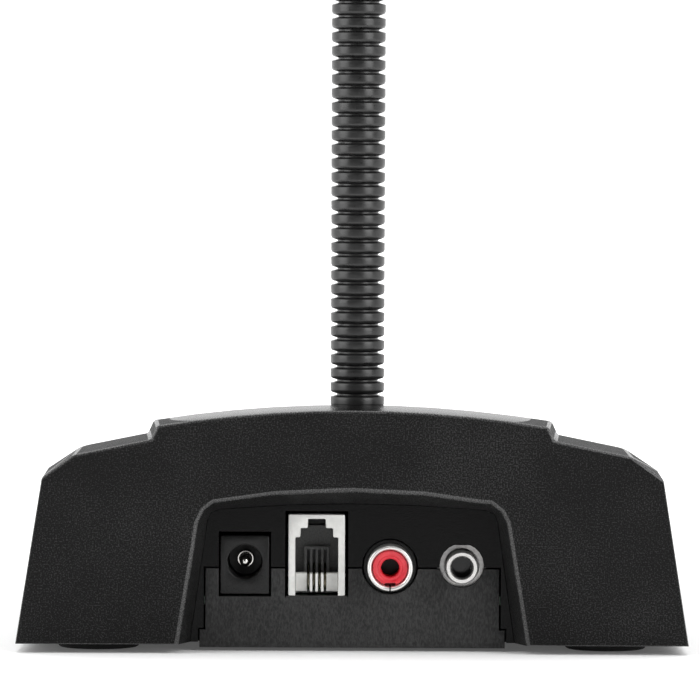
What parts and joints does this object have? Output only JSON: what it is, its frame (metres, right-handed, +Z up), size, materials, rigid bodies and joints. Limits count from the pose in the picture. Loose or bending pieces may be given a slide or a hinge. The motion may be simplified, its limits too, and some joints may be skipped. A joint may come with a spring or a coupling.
{
  "type": "desk gooseneck microphone",
  "caption": "Desk microphone: wedge base with talk key, chime key, volume knob and rear sockets, a ribbed neck that bends, and a foam-covered capsule.",
  "frame": {"origin": "centre of the bounding box's underside, on the surface that the feet stand on", "axes": "+Z up, the talker sits at -Y, the sockets face +Y, +X is to the talker's right"},
  "size_m": [0.123, 0.15, 0.3864],
  "materials": {
    "case_plastic": "matte",
    "panel_plastic": "satin",
    "neck_plastic": "satin",
    "rubber": "matte",
    "foam": "matte",
    "nickel": "polished",
    "steel": "satin",
    "brass": "satin",
    "circuit_board": "satin",
    "socket_black": "satin",
    "socket_grey": "satin",
    "socket_red": "satin",
    "button_grey": "satin",
    "lens_green": "gloss"
  },
  "bodies": {
    "base": {"top_cover": "case_plastic", "bottom_cover": "case_plastic", "foot_1": "rubber", "foot_2": "rubber", "foot_3": "rubber", "foot_4": "rubber", "base_screw_1": "steel", "base_screw_2": "steel", "base_screw_3": "steel", "base_screw_4": "steel", "ballast_plate": "steel", "ballast_screw_1": "steel", "ballast_screw_2": "steel", "main_board": "circuit_board", "main_board_screw_1": "steel", "main_board_screw_2": "steel", "control_board": "circuit_board", "control_board_screw_1": "steel", "control_board_screw_2": "steel", "control_panel": "panel_plastic", "talk_switch": "socket_black", "chime_switch": "socket_black", "volume_pot": "steel", "status_light": "lens_green", "power_jack_body": "socket_black", "power_jack_pin": "nickel", "link_jack_body": "socket_grey", "link_jack_contacts": "brass", "phono_jack_shell": "nickel", "phono_jack_insulator": "socket_red", "phono_jack_contact": "brass", "mini_jack_body": "nickel", "mini_jack_bushing": "nickel", "neck_ferrule": "nickel", "neck_nut": "steel", "neck_root_sleeve": "neck_plastic"},
    "talk_button": {"talk_button": "button_grey"},
    "chime_button": {"chime_button": "button_grey"},
    "volume_knob": {"volume_knob": "case_plastic", "volume_shaft": "steel"},
    "neck_01": {"neck_segment_01": "neck_plastic"},
    "neck_02": {"neck_segment_02": "neck_plastic"},
    "neck_03": {"neck_segment_03": "neck_plastic"},
    "neck_04": {"neck_segment_04": "neck_plastic"},
    "neck_05": {"neck_segment_05": "neck_plastic"},
    "neck_06": {"neck_segment_06": "neck_plastic"},
    "neck_07": {"neck_segment_07": "neck_plastic"},
    "neck_08": {"neck_segment_08": "neck_plastic"},
    "neck_09": {"neck_segment_09": "neck_plastic"},
    "neck_10": {"neck_segment_10": "neck_plastic"},
    "neck_11": {"neck_segment_11": "neck_plastic"},
    "neck_12": {"neck_segment_12": "neck_plastic"},
    "neck_13": {"neck_segment_13": "neck_plastic"},
    "neck_14": {"neck_segment_14": "neck_plastic"},
    "neck_15": {"neck_segment_15": "neck_plastic"},
    "head": {"head_housing": "case_plastic", "capsule_ring": "rubber", "mic_capsule": "nickel", "grille_cap": "steel"},
    "windscreen": {"windscreen": "foam"}
  },
  "joints": [
    {"name": "neck_bend_1", "type": "hinge", "parent": "base", "child": "neck_01", "pos_m": [-0.0008, 0.0495, 0.05145], "axis": [1, 0, 0], "range_deg": [-11.25, 11.25]},
    {"name": "neck_sway_1", "type": "hinge", "parent": "neck_01", "child": "neck_02", "pos_m": [-0.0008, 0.0495, 0.06965], "axis": [0, 1, 0], "range_deg": [-11.25, 11.25]},
    {"name": "neck_bend_2", "type": "hinge", "parent": "neck_02", "child": "neck_03", "pos_m": [-0.0008, 0.0495, 0.08785], "axis": [1, 0, 0], "range_deg": [-11.25, 11.25]},
    {"name": "neck_sway_2", "type": "hinge", "parent": "neck_03", "child": "neck_04", "pos_m": [-0.0008, 0.0495, 0.10605], "axis": [0, 1, 0], "range_deg": [-11.25, 11.25]},
    {"name": "neck_bend_3", "type": "hinge", "parent": "neck_04", "child": "neck_05", "pos_m": [-0.0008, 0.0495, 0.12425], "axis": [1, 0, 0], "range_deg": [-11.25, 11.25]},
    {"name": "neck_sway_3", "type": "hinge", "parent": "neck_05", "child": "neck_06", "pos_m": [-0.0008, 0.0495, 0.14245], "axis": [0, 1, 0], "range_deg": [-11.25, 11.25]},
    {"name": "neck_bend_4", "type": "hinge", "parent": "neck_06", "child": "neck_07", "pos_m": [-0.0008, 0.0495, 0.16065], "axis": [1, 0, 0], "range_deg": [-11.25, 11.25]},
    {"name": "neck_sway_4", "type": "hinge", "parent": "neck_07", "child": "neck_08", "pos_m": [-0.0008, 0.0495, 0.17885], "axis": [0, 1, 0], "range_deg": [-11.25, 11.25]},
    {"name": "neck_bend_5", "type": "hinge", "parent": "neck_08", "child": "neck_09", "pos_m": [-0.0008, 0.0495, 0.19705], "axis": [1, 0, 0], "range_deg": [-11.25, 11.25]},
    {"name": "neck_sway_5", "type": "hinge", "parent": "neck_09", "child": "neck_10", "pos_m": [-0.0008, 0.0495, 0.21525], "axis": [0, 1, 0], "range_deg": [-11.25, 11.25]},
    {"name": "neck_bend_6", "type": "hinge", "parent": "neck_10", "child": "neck_11", "pos_m": [-0.0008, 0.0495, 0.23345], "axis": [1, 0, 0], "range_deg": [-11.25, 11.25]},
    {"name": "neck_sway_6", "type": "hinge", "parent": "neck_11", "child": "neck_12", "pos_m": [-0.0008, 0.0495, 0.25165], "axis": [0, 1, 0], "range_deg": [-11.25, 11.25]},
    {"name": "neck_bend_7", "type": "hinge", "parent": "neck_12", "child": "neck_13", "pos_m": [-0.0008, 0.0495, 0.26985], "axis": [1, 0, 0], "range_deg": [-11.25, 11.25]},
    {"name": "neck_sway_7", "type": "hinge", "parent": "neck_13", "child": "neck_14", "pos_m": [-0.0008, 0.0495, 0.28805], "axis": [0, 1, 0], "range_deg": [-11.25, 11.25]},
    {"name": "neck_bend_8", "type": "hinge", "parent": "neck_14", "child": "neck_15", "pos_m": [-0.0008, 0.0495, 0.30625], "axis": [1, 0, 0], "range_deg": [-11.25, 11.25]},
    {"name": "neck_sway_8", "type": "hinge", "parent": "neck_15", "child": "head", "pos_m": [-0.0008, 0.0495, 0.32445], "axis": [0, 1, 0], "range_deg": [-11.25, 11.25]},
    {"name": "talk_press", "type": "slide", "parent": "base", "child": "talk_button", "axis": [0, 0.1781, -0.984], "range_m": [0, 0.0015], "stiffness_N_per_m": 800, "springref_m": -0.001},
    {"name": "chime_press", "type": "slide", "parent": "base", "child": "chime_button", "axis": [0, 0.1781, -0.984], "range_m": [0, 0.0015], "stiffness_N_per_m": 500, "springref_m": -0.001},
    {"name": "volume_turn", "type": "hinge", "parent": "base", "child": "volume_knob", "pos_m": [0.021, -0.02571, 0.02994], "axis": [0, -0.1781, 0.984], "range_deg": [-150, 150]},
    {"name": "windscreen_pull", "type": "slide", "parent": "head", "child": "windscreen", "axis": [0, 0, 1], "range_m": [0, 0.045]}
  ],
  "couplings": [
    {"joint": "neck_bend_2", "follows": "neck_bend_1", "ratio": 1},
    {"joint": "neck_sway_2", "follows": "neck_sway_1", "ratio": 1},
    {"joint": "neck_bend_3", "follows": "neck_bend_1", "ratio": 1},
    {"joint": "neck_sway_3", "follows": "neck_sway_1", "ratio": 1},
    {"joint": "neck_bend_4", "follows": "neck_bend_1", "ratio": 1},
    {"joint": "neck_sway_4", "follows": "neck_sway_1", "ratio": 1},
    {"joint": "neck_bend_5", "follows": "neck_bend_1", "ratio": 1},
    {"joint": "neck_sway_5", "follows": "neck_sway_1", "ratio": 1},
    {"joint": "neck_bend_6", "follows": "neck_bend_1", "ratio": 1},
    {"joint": "neck_sway_6", "follows": "neck_sway_1", "ratio": 1},
    {"joint": "neck_bend_7", "follows": "neck_bend_1", "ratio": 1},
    {"joint": "neck_sway_7", "follows": "neck_sway_1", "ratio": 1},
    {"joint": "neck_bend_8", "follows": "neck_bend_1", "ratio": 1},
    {"joint": "neck_sway_8", "follows": "neck_sway_1", "ratio": 1}
  ]
}
